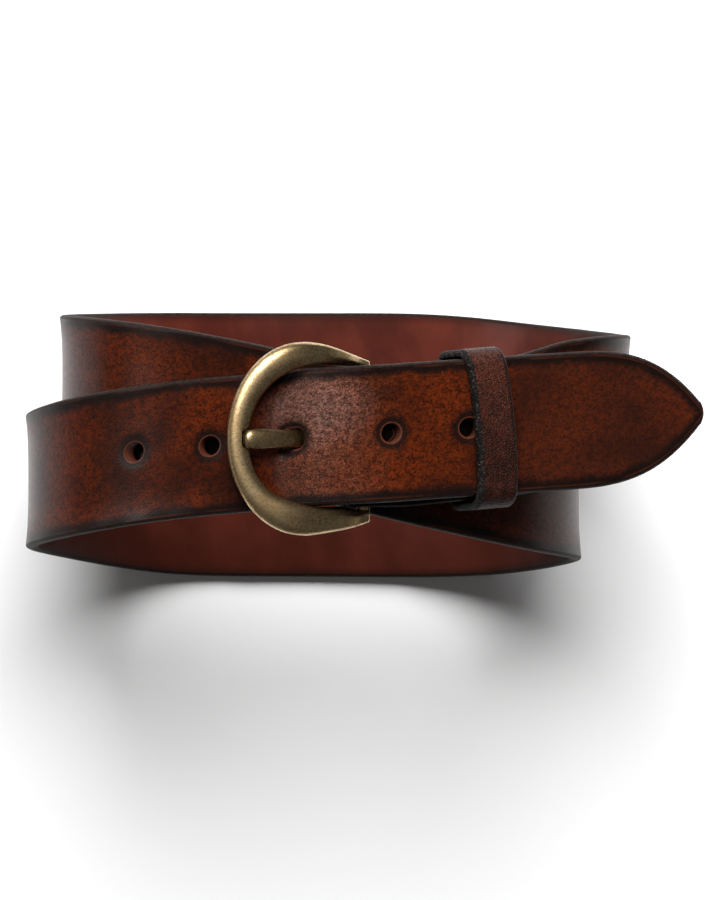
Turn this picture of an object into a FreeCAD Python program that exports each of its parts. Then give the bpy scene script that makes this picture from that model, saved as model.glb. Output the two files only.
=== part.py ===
import FreeCAD, Part

import math
import os

# A man's leather belt, buckled and lying on its back as a two-turn roll.
# Millimetres, +Z up, +X towards the pointed end, origin under the middle of the roll at its base.

# ---- Driving dimensions -------------------------------------------------------------------------

STRAP_WIDTH = 38.0
STRAP_THICKNESS = 3.6
SKIVED_THICKNESS = 2.4          # the folded end is thinned to go round the bar
POINT_LENGTH = 40.0             # length over which the end narrows to its point
HOLE_RADIUS = 2.6
HOLE_X = (-61.8, -41.4, 8.4, 29.8)
PULLED_HOLE = (12.4, 23.0)      # the hole in use, pulled long: its ends, measured from the bar
PULLED_HOLE_WIDTH = 5.4
PULLED_HOLE_LEVELS = (-1.6, 8.6)

BAR_X = 0.9
BAR_Y = 1.65
BAR_Z = 109.5
BAR_RADIUS = 2.2
FOLD_CLEARANCE = 0.1
FOLD_MIDDLE_RADIUS = 3.5
FOLD_SLOT = (-11.1, 7.0)        # the slot for the prong's eye, behind and before the bar
FOLD_SLOT_WIDTH = 6.2
FOLD_SLOT_HEIGHT = 9.9

CLASP_START_X = 12.0            # beyond it the layers run straight, sloping down towards the tip
CLASP_SLOPE = math.tan(math.radians(7.0))
CLASP_HEADING = math.radians(4.9)
RETURN_LEVEL = -1.9             # heights of the layers' middles over the clasp line
LONG_LEVEL = 1.4
TIP_LEVEL = 6.1

FRAME_WIDTH = 53.2
FRAME_INNER_WIDTH = 40.6
FRAME_REACH = 37.6              # from the bar's axis to the front of the frame
FRAME_INNER_REACH = 31.3
FRAME_THICKNESS = 4.2
FRAME_EDGE_ROUND = 1.3
LEG_END = -2.3
LEG_END_OUTER = 22.2
LEG_END_INNER = 19.7
OUTER_LEG = ((LEG_END, LEG_END_OUTER), (4, 24.0), (9, 25.5))    # distance before the bar, half width
INNER_LEG = ((LEG_END, LEG_END_INNER), (4, 20.0))
OUTER_BOW_START = 13.5          # where the legs run into the rounded front
INNER_BOW_START = 11.0
OUTER_BOW_POWER = 2.2           # 2 is an ellipse, more is squarer
INNER_BOW_POWER = 2.1
BAR_INTO_LEG = 1.2
NOTCH_FLOOR = 6.3               # the prong's seat on the frame, over the bar's axis
NOTCH_START = 30.6
NOTCH_LENGTH = 3.2
NOTCH_WIDTH = 5.2

PRONG_WIDTH = 4.7
PRONG_THICKNESS = 2.7
PRONG_EDGE_ROUND = 0.9
EYE_RADIUS = 4.0
EYE_WIDTH = 5.6
EYE_CLEARANCE = 0.08
EYE_EDGE_ROUND = 0.5

KEEPER_LENGTH = 10.7            # along the strap
KEEPER_THICKNESS = 2.1
KEEPER_OUTER_WIDTH = 44.5
KEEPER_LEAN = math.radians(25.0)
KEEPER_X = 31.0
KEEPER_Y = 4.27
KEEPER_LOW = -3.6               # the loop's inner faces over the clasp line
KEEPER_HIGH = 8.4
KEEPER_CORNER = 2.8
KEEPER_SLIT = 0.3

STAPLE_LENGTH = 9.0
STAPLE_WIDTH = 1.2
STAPLE_THICKNESS = 0.6
STAPLE_FOOT = 3.0

SCREW_X = (17.6, 44.6)
BARREL_RADIUS = 2.5
BARREL_CLEARANCE = 0.05
THREAD_RADIUS = 1.9
SCREW_HEAD_RADIUS = 4.5
SCREW_HEAD_THICKNESS = 0.9
SCREW_HEAD_SINK = 0.85
SCREW_SEAT_CLEARANCE = 0.1
SCREW_END_GAP = 0.4
DRIVER_SLOT_WIDTH = 1.1
DRIVER_SLOT_DEPTH = 0.4


def vector(x, y, z):
    return FreeCAD.Vector(x, y, z)


# ---- The strap's route --------------------------------------------------------------------------

def clasp_point(x, level, y):
    """A point over the straight, sloping line that the layers follow beside the buckle."""
    return vector(x, y, BAR_Z + level - CLASP_SLOPE * (x - CLASP_START_X))


def fold_y(x):
    """Where the folded layers' middle lies across the roll."""
    return BAR_Y + 0.105 * max(x - 11.0, 0.0) + 0.0072 * max(x - 37.0, 0.0) ** 2


def round_points(radius):
    """Control points that carry the strap half way round the bar, from below to above."""
    turn = math.radians(45.0)
    reach = radius / (2.0 / 3.0 + math.cos(turn) / 3.0)
    angles = [math.radians(degrees) for degrees in (-90, -135, 180, 135, 90)]
    return [vector(BAR_X + reach * math.cos(a), BAR_Y, BAR_Z + reach * math.sin(a)) for a in angles]


# Control points of the strap's middle line, from the short end of the fold to the pointed end.
RETURN_PIECE = [clasp_point(x, RETURN_LEVEL, fold_y(x)) for x in (49.5, 44, 37, 29, 20)]
RETURN_PIECE += [vector(12, BAR_Y, BAR_Z - 2.0), vector(7, BAR_Y, BAR_Z - 3.0)]

FOLD = round_points(FOLD_MIDDLE_RADIUS)

LONG_PIECE = [vector(7, BAR_Y, BAR_Z + 3.0), vector(12, BAR_Y, BAR_Z + 1.9)]
LONG_PIECE += [clasp_point(x, LONG_LEVEL, fold_y(x)) for x in (20, 29, 37, 44, 51)]

BACK_TURN = [vector(*point) for point in (
    (59, 9.9, 104.4), (67.5, 11.5, 97.5), (73.7, 11.9, 83), (74.2, 12.1, 62), (71, 13.1, 40),
    (61.5, 14.7, 19), (47, 16.5, 5.5), (31, 18.6, 1.75), (15, 19.6, 1.75), (-3, 19.6, 1.75),
    (-21, 19.6, 1.75), (-37, 19.6, 1.75), (-54, 19.6, 8.2), (-69, 19.2, 20), (-79, 18.6, 38),
    (-83.5, 18, 59), (-81, 17.3, 81), (-68, 15.7, 98.5))]

CROSSING = [vector(*point) for point in (
    (-50, 12.8, 103.5), (-30, 8.9, 103.5), (-10, 3.8, 101.5), (8, -1.2, 100), (26, -5.4, 97.5))]

FRONT_TURN = [vector(*point) for point in (
    (43, -9.4, 90.5), (55.5, -12.3, 77), (61.5, -13.5, 59), (59.5, -14.9, 39), (49.5, -17.4, 20.5),
    (35, -19.2, 9.5), (19, -19.7, 3.4), (3, -19.6, 1.75), (-16, -19.5, 1.75), (-35, -19.4, 1.75),
    (-52, -19.2, 1.75), (-70, -16.7, 10), (-84, -13.5, 27), (-92, -11.3, 50), (-92.5, -9.8, 74),
    (-84, -7.1, 93.5), (-68, -3.8, 105.5), (-52, -1.5, 110))]

OVER_BAR = [vector(x, y, BAR_Z + level) for x, y, level in (
    (-38, -0.2, 0.8), (-29, 0.5, 0.7), (-22, 1.1, 0.9), (-16.7, 1.7, 3.9), (-11.2, 2.2, 7.6),
    (-3, 2.6, 7.5), (5, 3.0, 7.1))]

TIP_END = [clasp_point(x, TIP_LEVEL, y) for x, y in (
    (14, 3.6), (24, 4.3), (34, 5.0), (46, 5.8), (58, 6.6), (70, 7.4), (82, 8.1), (95, 8.8))]

ROUTE = RETURN_PIECE + FOLD + LONG_PIECE + BACK_TURN + CROSSING + FRONT_TURN + OVER_BAR + TIP_END
SKIVED_POINTS = len(RETURN_PIECE) + len(FOLD)
STRETCH_SPANS = 2               # how much of the route one long face follows


def spline(points):
    """The uniform cubic B-spline with these control points, clamped at its ends."""
    degree = 3
    spans = len(points) - degree
    multiplicities = [degree + 1] + [1] * (spans - 1) + [degree + 1]
    curve = Part.BSplineCurve()
    curve.buildFromPolesMultsKnots(points, multiplicities, list(range(spans + 1)), False, degree)
    return curve


def thickness_at(index):
    if index < SKIVED_POINTS:
        return SKIVED_THICKNESS
    if index == SKIVED_POINTS:
        return (SKIVED_THICKNESS + STRAP_THICKNESS) / 2.0
    return STRAP_THICKNESS


def unit_xz(start, end):
    step = vector(end.x - start.x, 0, end.z - start.z)
    return step.normalize()


def edge_points(side, face):
    """Control points of one of the strap's four long edges.

    side is +1 or -1 across the strap, and face is +1 or -1 through its thickness. The edge keeps
    the route's spacing, so the faces between two edges are ruled straight across the strap.
    """
    points = []
    last = len(ROUTE) - 1
    for index, middle in enumerate(ROUTE):
        before = unit_xz(ROUTE[max(index - 1, 0)], ROUTE[max(index, 1)])
        after = unit_xz(ROUTE[min(index, last - 1)], ROUTE[min(index + 1, last)])
        along = (before + after).normalize()
        spread = 1.0 / (2.0 / 3.0 + before.dot(after) / 3.0)
        span = ROUTE[min(index + 1, last)] - ROUTE[max(index - 1, 0)]
        drift = span.y / math.hypot(span.x, span.z)
        out = face * thickness_at(index) / 2.0 * spread
        across = side * STRAP_WIDTH / 2.0 * math.sqrt(1.0 + drift ** 2)
        points.append(middle + vector(-along.z * out, across, along.x * out))
    return points


def line(start, end):
    return Part.makeLine(start, end)


def stretch_faces(edges, start, end):
    """The four long faces of the strap between two places on its edges."""
    pieces = {}
    for key, curve in edges.items():
        piece = curve.copy()
        piece.segment(start, end)
        pieces[key] = piece.toShape()
    around = [(1, 1), (-1, 1), (-1, -1), (1, -1)]
    pairs = zip(around, around[1:] + around[:1])
    return [Part.makeRuledSurface(pieces[first], pieces[second]) for first, second in pairs]


def strap_blank():
    """The whole strap as one closed solid, before it is cut."""
    edges = {(side, face): spline(edge_points(side, face)) for side in (1, -1) for face in (1, -1)}
    spans = len(ROUTE) - 3
    faces = []
    for start in range(0, spans, STRETCH_SPANS):
        faces += stretch_faces(edges, start, min(start + STRETCH_SPANS, spans))
    for end in (0, -1):
        corners = [edges[key].getPoles()[end] for key in ((1, 1), (-1, 1), (-1, -1), (1, -1))]
        faces.append(Part.Face(Part.makePolygon(corners + corners[:1])))
    shell = Part.makeShell(faces)
    shell.sewShape()
    solid = Part.makeSolid(shell)
    if solid.Volume < 0:
        solid.reverse()
    return solid


MIDDLE = spline(ROUTE)


def frame_at(x, first, last):
    """The middle line's point at this x, between two of its spans, and the upward normal there."""
    low = float(first)
    high = float(last)
    rising = MIDDLE.value(high).x > MIDDLE.value(low).x
    for _ in range(60):
        middle = (low + high) / 2.0
        if (MIDDLE.value(middle).x < x) == rising:
            low = middle
        else:
            high = middle
    up = MIDDLE.tangent(low)[0].cross(vector(0, 1, 0)).normalize()
    if up.z < 0:
        up = up * -1.0
    return MIDDLE.value(low), up


# Spans between which the tip end's middle line always runs towards +X.
TIP_FIRST = len(ROUTE) - len(TIP_END) - len(OVER_BAR) - 6
TIP_LAST = len(ROUTE) - 3


def cylinder(radius, start, direction, length):
    return Part.makeCylinder(radius, length, start, direction)


def hole_tool(x):
    place, up = frame_at(x, TIP_FIRST, TIP_LAST)
    through = STRAP_THICKNESS + 1.0
    return cylinder(HOLE_RADIUS, place - up * (through / 2.0), up, through)


def point_tools():
    """What is cut away to leave the point: the end's corners outside a cubic outline."""
    tip = ROUTE[-1]
    inward = (ROUTE[-2] - tip).normalize()
    across = vector(0, 1, 0) - inward * inward.y
    across.normalize()
    up = inward.cross(across).normalize()
    half = STRAP_WIDTH / 2.0
    third = POINT_LENGTH / 3.0
    depth = 2.0 * STRAP_THICKNESS
    beside = half + 6.0
    beyond = -4.0

    def place(distance, sideways):
        return tip + inward * distance + across * sideways - up * (depth / 2.0)

    tools = []
    for side in (1, -1):
        outline = Part.BezierCurve()
        outline.setPoles([place(0, 0), place(third, side * half), place(2 * third, side * half),
                          place(POINT_LENGTH, side * half)])
        corners = [place(POINT_LENGTH, side * half), place(POINT_LENGTH, side * beside),
                   place(beyond, side * beside), place(beyond, 0), place(0, 0)]
        wire = Part.Wire([outline.toShape()] + Part.makePolygon(corners).Edges)
        tools.append(Part.Face(wire).extrude(up * depth))
    return tools


# ---- Side lines beside the bar: (distance in front of the bar, height over its axis) ------------

PRONG_LINE = ((0, 2.3), (6, 1.7), (11, 1.6), (16.5, 3.6), (22, 6.6), (27, 7.7), (33, 7.8))
FRAME_LINE = ((-6, -0.2), (-2, 0), (1, 0.4), (5, 3.0), (10, 5.9), (15, 7.7), (20, 8.0), (26, 7.3),
              (32, 6.2), (40, 4.6))


def clasp_side(reach, height, y=BAR_Y):
    """A point given by its distance in front of the bar and its height over the bar's axis."""
    return vector(BAR_X - reach, y, BAR_Z + height)


def smooth(points):
    curve = Part.BSplineCurve()
    curve.interpolate(points)
    return curve.toShape()


def bent_slab(points, thickness, width):
    """A slab that follows a side line, centred across the bar."""
    y = BAR_Y - width / 2.0
    top = [clasp_side(reach, height + thickness / 2.0, y) for reach, height in points]
    bottom = [clasp_side(reach, height - thickness / 2.0, y) for reach, height in points]
    wire = Part.Wire([smooth(top), line(top[-1], bottom[-1]), smooth(bottom[::-1]),
                      line(bottom[0], top[0])])
    return Part.Face(wire).extrude(vector(0, width, 0))


def oblong_tool(near, far, half_width, low, high):
    """An upright slot with round ends, between two distances in front of the bar."""
    height = high - low
    up = vector(0, 0, 1)
    ends = [cylinder(half_width, clasp_side(reach, low), up, height)
            for reach in (near + half_width, far - half_width)]
    length = far - near - 2.0 * half_width
    corner = clasp_side(far - half_width, low, BAR_Y - half_width)
    return ends[0].fuse(ends[1]).fuse(Part.makeBox(length, 2.0 * half_width, height, corner))


# ---- The strap ----------------------------------------------------------------------------------

def fold_slot_tool():
    """The slot in the fold that the prong's eye turns in."""
    behind, before = FOLD_SLOT
    start = clasp_side(before, -FOLD_SLOT_HEIGHT / 2.0, BAR_Y - FOLD_SLOT_WIDTH / 2.0)
    return Part.makeBox(before - behind, FOLD_SLOT_WIDTH, FOLD_SLOT_HEIGHT, start)


def screw_frame(x):
    """The fold's lowest point at this x, the direction through both layers, and their depth."""
    long_first = SKIVED_POINTS - 3
    upper, up = frame_at(x, long_first, long_first + len(LONG_PIECE) + 1)
    lower = frame_at(x, 0, len(RETURN_PIECE) - 2)[0]
    top = upper + up * (STRAP_THICKNESS / 2.0)
    bottom = lower - up * (SKIVED_THICKNESS / 2.0)
    return bottom, up, (top - bottom).dot(up)


def screw_tool(x):
    """The hole for a screw post, with a sunk seat for the head at each end."""
    bottom, up, depth = screw_frame(x)
    margin = 0.5
    seat = SCREW_HEAD_RADIUS + SCREW_SEAT_CLEARANCE
    below = bottom - up * margin
    hole = cylinder(BARREL_RADIUS + BARREL_CLEARANCE, below, up, depth + 2.0 * margin)
    lower_seat = cylinder(seat, below, up, margin + SCREW_HEAD_SINK)
    upper_start = bottom + up * (depth - SCREW_HEAD_SINK)
    upper_seat = cylinder(seat, upper_start, up, SCREW_HEAD_SINK + margin)
    return hole.fuse(lower_seat).fuse(upper_seat)


def bar_tool():
    """Clears the fold's inside to a true cylinder round the bar."""
    start = clasp_side(0, 0, BAR_Y - STRAP_WIDTH)
    return cylinder(BAR_RADIUS + FOLD_CLEARANCE, start, vector(0, 1, 0), 2.0 * STRAP_WIDTH)


def floor_tool():
    """Takes the last few hundredths off the underside, which leaves it truly flat."""
    reach = 200.0
    depth = 5.0
    return Part.makeBox(2.0 * reach, 2.0 * reach, depth, vector(-reach, -reach, -depth))


def make_strap():
    solid = strap_blank()
    tools = [floor_tool(), bar_tool(), fold_slot_tool()]
    tools.append(oblong_tool(*PULLED_HOLE, PULLED_HOLE_WIDTH / 2.0, *PULLED_HOLE_LEVELS))
    tools += [screw_tool(x) for x in SCREW_X]
    tools += [hole_tool(x) for x in HOLE_X]
    tools += point_tools()
    for tool in tools:
        solid = solid.cut(tool)
    return solid


# ---- The buckle ---------------------------------------------------------------------------------

def plan_outline(legs, centre, reach, half_width, power):
    """Points round the frame in plan: one leg, a superellipse round the front, the other leg."""
    front = []
    steps = 14
    for step in range(1, steps):
        angle = math.pi * (0.5 - step / steps)
        u = math.cos(angle) ** (2.0 / power) * (reach - centre) + centre
        v = math.copysign(abs(math.sin(angle)) ** (2.0 / power), math.sin(angle)) * half_width
        front.append((u, v))
    upper = list(legs) + [(centre, half_width)]
    lower = [(u, -v) for u, v in reversed(upper)]
    return upper + front + lower


def make_frame():
    outer = plan_outline(OUTER_LEG, OUTER_BOW_START, FRAME_REACH, FRAME_WIDTH / 2.0,
                         OUTER_BOW_POWER)
    inner = plan_outline(INNER_LEG, INNER_BOW_START, FRAME_INNER_REACH, FRAME_INNER_WIDTH / 2.0,
                         INNER_BOW_POWER)
    low = -6.0
    high = 14.0
    outer = [clasp_side(u, low, BAR_Y + v) for u, v in outer]
    inner = [clasp_side(u, low, BAR_Y + v) for u, v in inner]
    wire = Part.Wire([smooth(outer), line(outer[-1], inner[-1]), smooth(inner[::-1]),
                      line(inner[0], outer[0])])
    ring = Part.Face(wire).extrude(vector(0, 0, high - low))
    solid = ring.common(bent_slab(FRAME_LINE, FRAME_THICKNESS, 1.5 * FRAME_WIDTH))
    solid = solid.makeFillet(FRAME_EDGE_ROUND, solid.Edges)
    half_bar = LEG_END_INNER + BAR_INTO_LEG
    bar = cylinder(BAR_RADIUS, clasp_side(0, 0, BAR_Y - half_bar), vector(0, 1, 0), 2.0 * half_bar)
    corner = clasp_side(NOTCH_START + NOTCH_LENGTH, NOTCH_FLOOR, BAR_Y - NOTCH_WIDTH / 2.0)
    notch = Part.makeBox(NOTCH_LENGTH, NOTCH_WIDTH, FRAME_THICKNESS, corner)
    return solid.fuse(bar).cut(notch).removeSplitter()


def make_prong():
    body = bent_slab(PRONG_LINE, PRONG_THICKNESS, PRONG_WIDTH)
    body = body.makeFillet(PRONG_EDGE_ROUND, body.Edges)
    start = clasp_side(0, 0, BAR_Y - EYE_WIDTH / 2.0)
    across = vector(0, 1, 0)
    eye = cylinder(EYE_RADIUS, start, across, EYE_WIDTH)
    rims = [edge for edge in eye.Edges if edge.Length > 2.0 * EYE_WIDTH]
    eye = eye.makeFillet(EYE_EDGE_ROUND, rims)
    bore_start = clasp_side(0, 0, BAR_Y - EYE_WIDTH)
    bore = cylinder(BAR_RADIUS + EYE_CLEARANCE, bore_start, across, 2.0 * EYE_WIDTH)
    return body.fuse(eye).cut(bore).removeSplitter()


# ---- The keeper ---------------------------------------------------------------------------------

def rounded_rectangle(half_width, low, high, radius):
    """A rectangle with round corners in the YZ plane."""
    corners = [(half_width, high), (-half_width, high), (-half_width, low), (half_width, low)]
    turn = radius * (1.0 - math.sqrt(0.5))
    edges = []
    ends = []
    for y, z in corners:
        sy = math.copysign(1.0, y)
        sz = 1.0 if z == high else -1.0
        along_y = vector(0, y - sy * radius, z)
        along_z = vector(0, y, z - sz * radius)
        middle = vector(0, y - sy * turn, z - sz * turn)
        first, last = (along_z, along_y) if sy * sz > 0 else (along_y, along_z)
        edges.append(Part.Arc(first, middle, last).toShape())
        ends.append((first, last))
    for index, (first, last) in enumerate(ends):
        following = ends[(index + 1) % len(ends)][0]
        edges.append(line(last, following))
    return Part.Wire(Part.__sortEdges__(edges))


def to_keeper(shape):
    """Moves a shape drawn round the origin, along +X, to the keeper's place on the strap."""
    shape.rotate(vector(0, 0, 0), vector(0, 1, 0), math.degrees(math.atan(CLASP_SLOPE)))
    shape.rotate(vector(0, 0, 0), vector(0, 0, 1), math.degrees(CLASP_HEADING))
    shape.translate(clasp_point(KEEPER_X, 0, KEEPER_Y))
    return shape


def leaned(face):
    """The face turned by the keeper's lean and drawn out along the strap."""
    face.rotate(vector(0, 0, 0), vector(0, 1, 0), math.degrees(KEEPER_LEAN))
    face.translate(vector(-KEEPER_LENGTH / 2.0, 0, 0))
    return face.extrude(vector(KEEPER_LENGTH, 0, 0))


def staple_shape():
    """A flat staple across the slit under the loop, its legs turned in on the inner face."""
    half = STAPLE_LENGTH / 2.0
    flat = STAPLE_THICKNESS
    outside = KEEPER_LOW - KEEPER_THICKNESS
    bottom = outside - flat / 2.0
    x = math.tan(KEEPER_LEAN) * (outside + KEEPER_LOW) / 2.0 - STAPLE_WIDTH / 2.0
    shape = Part.makeBox(STAPLE_WIDTH, STAPLE_LENGTH, flat, vector(x, -half, bottom))
    for leg_y, foot_y in ((-half, -half), (half - flat, half - STAPLE_FOOT)):
        leg = Part.makeBox(STAPLE_WIDTH, flat, KEEPER_LOW - bottom, vector(x, leg_y, bottom))
        foot = Part.makeBox(STAPLE_WIDTH, STAPLE_FOOT, flat, vector(x, foot_y, KEEPER_LOW - flat))
        shape = shape.fuse(leg).fuse(foot)
    return shape.removeSplitter()


def make_keeper():
    stretch = 1.0 / math.cos(KEEPER_LEAN)
    wall = KEEPER_THICKNESS
    half = KEEPER_OUTER_WIDTH / 2.0
    outer = rounded_rectangle(half, (KEEPER_LOW - wall) * stretch, (KEEPER_HIGH + wall) * stretch,
                              KEEPER_CORNER)
    inner = rounded_rectangle(half - wall, KEEPER_LOW * stretch, KEEPER_HIGH * stretch,
                              KEEPER_CORNER - wall)
    band = leaned(Part.Face(outer)).cut(leaned(Part.Face(inner)))
    margin = 1.0
    slit_corner = vector(-2.0 * KEEPER_LENGTH, -KEEPER_SLIT / 2.0, KEEPER_LOW - wall - margin)
    slit = Part.makeBox(4.0 * KEEPER_LENGTH, KEEPER_SLIT, wall + 2.0 * margin, slit_corner)
    return to_keeper(band.cut(slit).cut(staple_shape()))


def make_staple():
    return to_keeper(staple_shape())


# ---- The screws that close the fold -------------------------------------------------------------

def make_post(x):
    """The tapped post, its head under the fold's lower layer."""
    bottom, up, depth = screw_frame(x)
    seat = bottom + up * SCREW_HEAD_SINK
    head = cylinder(SCREW_HEAD_RADIUS, seat - up * SCREW_HEAD_THICKNESS, up, SCREW_HEAD_THICKNESS)
    length = depth - 2.0 * SCREW_HEAD_SINK
    barrel = cylinder(BARREL_RADIUS, seat, up, length)
    bore = cylinder(THREAD_RADIUS, seat, up, length)
    return head.fuse(barrel).cut(bore).removeSplitter()


def make_screw(x):
    """The screw that enters the post from above, with a slotted flat head."""
    bottom, up, depth = screw_frame(x)
    seat = bottom + up * (depth - SCREW_HEAD_SINK)
    head = cylinder(SCREW_HEAD_RADIUS, seat, up, SCREW_HEAD_THICKNESS)
    shank_length = depth - 2.0 * SCREW_HEAD_SINK - SCREW_END_GAP
    shank = cylinder(THREAD_RADIUS, seat - up * shank_length, up, shank_length)
    half = SCREW_HEAD_RADIUS + 1.0
    corner = vector(-DRIVER_SLOT_WIDTH / 2.0, -half, 0)
    slot = Part.makeBox(DRIVER_SLOT_WIDTH, 2.0 * half, SCREW_HEAD_THICKNESS, corner)
    slot.rotate(vector(0, 0, 0), vector(0, 1, 0), math.degrees(math.atan(CLASP_SLOPE)))
    slot.translate(seat + up * (SCREW_HEAD_THICKNESS - DRIVER_SLOT_DEPTH))
    return head.fuse(shank).removeSplitter().cut(slot)


def make_parts():
    return {
        "strap": make_strap(),
        "buckle_frame": make_frame(),
        "prong": make_prong(),
        "keeper_loop": make_keeper(),
        "keeper_staple": make_staple(),
        "bar_screw_post": make_post(SCREW_X[0]),
        "bar_screw": make_screw(SCREW_X[0]),
        "end_screw_post": make_post(SCREW_X[1]),
        "end_screw": make_screw(SCREW_X[1]),
    }


def main():
    os.makedirs("parts", exist_ok=True)
    for name, shape in make_parts().items():
        shape.exportStep("parts/" + name + ".step")
        box = shape.BoundBox
        print(name, len(shape.Solids), shape.isValid(), round(shape.Volume),
              [round(v, 2) for v in (box.XMin, box.YMin, box.ZMin, box.XMax, box.YMax, box.ZMax)])


main()
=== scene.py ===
import math

import bmesh
import bpy
import numpy as np
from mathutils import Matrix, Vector


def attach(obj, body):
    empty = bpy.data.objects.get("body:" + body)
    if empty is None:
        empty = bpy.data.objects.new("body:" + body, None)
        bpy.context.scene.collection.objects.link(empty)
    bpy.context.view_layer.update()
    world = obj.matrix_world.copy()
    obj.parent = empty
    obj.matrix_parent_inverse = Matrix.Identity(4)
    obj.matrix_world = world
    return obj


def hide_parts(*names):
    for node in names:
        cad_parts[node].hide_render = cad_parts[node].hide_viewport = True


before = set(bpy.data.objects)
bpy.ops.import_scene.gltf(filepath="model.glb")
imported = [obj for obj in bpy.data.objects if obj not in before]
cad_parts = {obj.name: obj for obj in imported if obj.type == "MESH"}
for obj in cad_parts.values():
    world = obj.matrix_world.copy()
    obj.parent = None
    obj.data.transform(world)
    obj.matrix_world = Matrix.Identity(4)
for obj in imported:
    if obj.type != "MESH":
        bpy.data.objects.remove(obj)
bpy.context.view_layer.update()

# The looks of a leather belt lying rolled up on its back. Lengths are in millimetres until a mesh
# is made; MM turns them into metres.
MM = 0.001
SHARP_ANGLE = math.radians(50)


# ---- Small tools --------------------------------------------------------------------------------

def make_object(name, points, faces, attributes=None):
    """A smooth-shaded mesh object from points in millimetres, with named values on its points."""
    mesh = bpy.data.meshes.new(name)
    mesh.from_pydata((np.asarray(points, float) * MM).tolist(), [], faces)
    mesh.polygons.foreach_set("use_smooth", np.ones(len(mesh.polygons), bool))
    for key, values in (attributes or {}).items():
        values = np.asarray(values, np.float32)
        kind = "FLOAT_VECTOR" if values.ndim == 2 else "FLOAT"
        layer = mesh.attributes.new(key, kind, "POINT")
        layer.data.foreach_set("vector" if values.ndim == 2 else "value", values.ravel())
    mesh.update()
    piece = bpy.data.objects.new(name, mesh)
    bpy.context.scene.collection.objects.link(piece)
    return piece


def combine(base, other, operation):
    """One mesh from two, with its edges sharper than SHARP_ANGLE kept crisp."""
    modifier = base.modifiers.new("combine", "BOOLEAN")
    modifier.operation = operation
    modifier.object = other
    modifier.solver = "EXACT"
    graph = bpy.context.evaluated_depsgraph_get()
    mesh = bpy.data.meshes.new_from_object(base.evaluated_get(graph))
    base.modifiers.clear()
    base.data = mesh
    mesh.polygons.foreach_set("use_smooth", np.ones(len(mesh.polygons), bool))
    mesh.set_sharp_from_angle(angle=SHARP_ANGLE)
    bpy.data.objects.remove(other)
    return base


def spline(control, at):
    """Points of the clamped uniform cubic B-spline with these control points."""
    control = np.asarray(control, float)
    spans = len(control) - 3
    knots = np.concatenate([np.zeros(3), np.arange(spans + 1), np.full(3, spans)])
    index = np.clip(np.floor(at).astype(int), 0, spans - 1) + 3
    work = [control[index - 3 + j] for j in range(4)]
    for level in range(1, 4):
        for j in range(3, level - 1, -1):
            low = knots[index - 3 + j]
            high = knots[index + j + 1 - level]
            share = (at - low) / (high - low)
            share = share.reshape(share.shape + (1,) * (control.ndim - 1))
            work[j] = (1 - share) * work[j - 1] + share * work[j]
    return work[3]


def through(points, at):
    """A smooth curve through the points (Catmull-Rom), at places from 0 to len(points) - 1."""
    points = np.asarray(points, float)
    ends = [2 * points[:1] - points[1:2], points, 2 * points[-1:] - points[-2:-1]]
    padded = np.concatenate(ends)
    index = np.clip(np.floor(at).astype(int), 0, len(points) - 2)
    f = (at - index)[:, None]
    a, b, c, d = (padded[index + k] for k in range(4))
    return 0.5 * (2 * b + (c - a) * f + (2 * a - 5 * b + 4 * c - d) * f ** 2
                  + (3 * b - a - 3 * c + d) * f ** 3)


def lengths(points):
    steps = np.linalg.norm(np.diff(points, axis=0), axis=1)
    return np.concatenate([[0], np.cumsum(steps)])


def smoothstep(low, high, value):
    x = np.clip((value - low) / (high - low), 0, 1)
    return x * x * (3 - 2 * x)


def unit(vectors):
    return vectors / np.linalg.norm(vectors, axis=-1, keepdims=True)


class Lattice:
    """Smooth repeatable noise over a plane, for slow uneven shapes."""

    def __init__(self, seed):
        self.table = np.random.default_rng(seed).uniform(-1, 1, (256, 256))

    def __call__(self, x, y):
        i = np.floor(x).astype(int)
        j = np.floor(y).astype(int)
        fx = smoothstep(0, 1, x - i)
        fy = smoothstep(0, 1, y - j)
        rows = [self.table[(i + a) % 256, (j + b) % 256] for a in (0, 1) for b in (0, 1)]
        low = rows[0] * (1 - fy) + rows[1] * fy
        high = rows[2] * (1 - fy) + rows[3] * fy
        return low * (1 - fx) + high * fx


# ---- The strap's sizes, the same as the CAD model's unless a comment says otherwise ---------------

STRAP_WIDTH = 38.0
STRAP_THICKNESS = 3.6
SKIVED_THICKNESS = 2.4
POINT_LENGTH = 40.0
POINT_RADIUS = 6.0              # only here: the CAD point is sharp
EDGE_ROUND = 1.15               # only here: the CAD strap's edges are square
HOLE_RADIUS = 2.6
HOLE_X = (-61.8, -41.4, 8.4, 29.8)

BAR_X = 0.9
BAR_Y = 1.65
BAR_Z = 109.5
BAR_RADIUS = 2.2
FOLD_MIDDLE_RADIUS = 3.5
FOLD_TRIM = 0.2                 # only here: how much narrower the fold is on each side
FOLD_END_S = 78.0               # lengths along the strap where the fold's stretch ends, and where the painted shade on its edges and their rougher finish have faded out
FOLD_FADE_S = 92.0              # and where its darker, rougher look has faded out
FOLD_SLOT_WIDTH = 6.2
FOLD_SLOT_HEIGHT = 9.9
FOLD_SLOT_END = 12.0

CLASP_START_X = 12.0
CLASP_SLOPE = math.tan(math.radians(7.0))
CLASP_HEADING = math.radians(4.9)
RETURN_LEVEL = -1.9
LONG_LEVEL = 1.4
TIP_LEVEL = 6.1


# ---- The strap's route --------------------------------------------------------------------------

def clasp_point(x, level, y):
    return (x, y, BAR_Z + level - CLASP_SLOPE * (x - CLASP_START_X))


def fold_y(x):
    return BAR_Y + 0.105 * max(x - 11.0, 0.0) + 0.0072 * max(x - 37.0, 0.0) ** 2


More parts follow.
